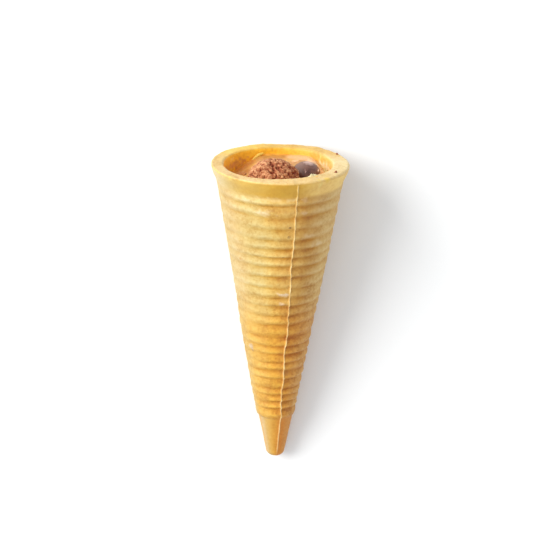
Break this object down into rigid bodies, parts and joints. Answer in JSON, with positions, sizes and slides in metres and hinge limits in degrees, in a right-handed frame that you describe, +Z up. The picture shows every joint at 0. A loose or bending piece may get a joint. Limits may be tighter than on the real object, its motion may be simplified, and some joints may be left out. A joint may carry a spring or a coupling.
{
  "type": "cream-filled wafer cone",
  "caption": "Ringed moulded wafer cone lying on its side, filled with set cream, with a crunchy cereal ball and a chocolate ball pressed in at the mouth.",
  "frame": {"origin": "centre of the bounding box on the surface that the cone lies on", "axes": "+Z up, +Y along the cone from its tip toward its mouth, +X to the right when looking down with the mouth at the top"},
  "size_m": [0.04, 0.093, 0.0391],
  "materials": {
    "wafer": "matte",
    "cream": "satin",
    "cereal": "matte",
    "chocolate": "satin"
  },
  "bodies": {
    "root": {"wafer_cone": "wafer", "cream": "cream", "cereal_ball": "cereal", "chocolate_ball": "chocolate"}
  },
  "joints": []
}
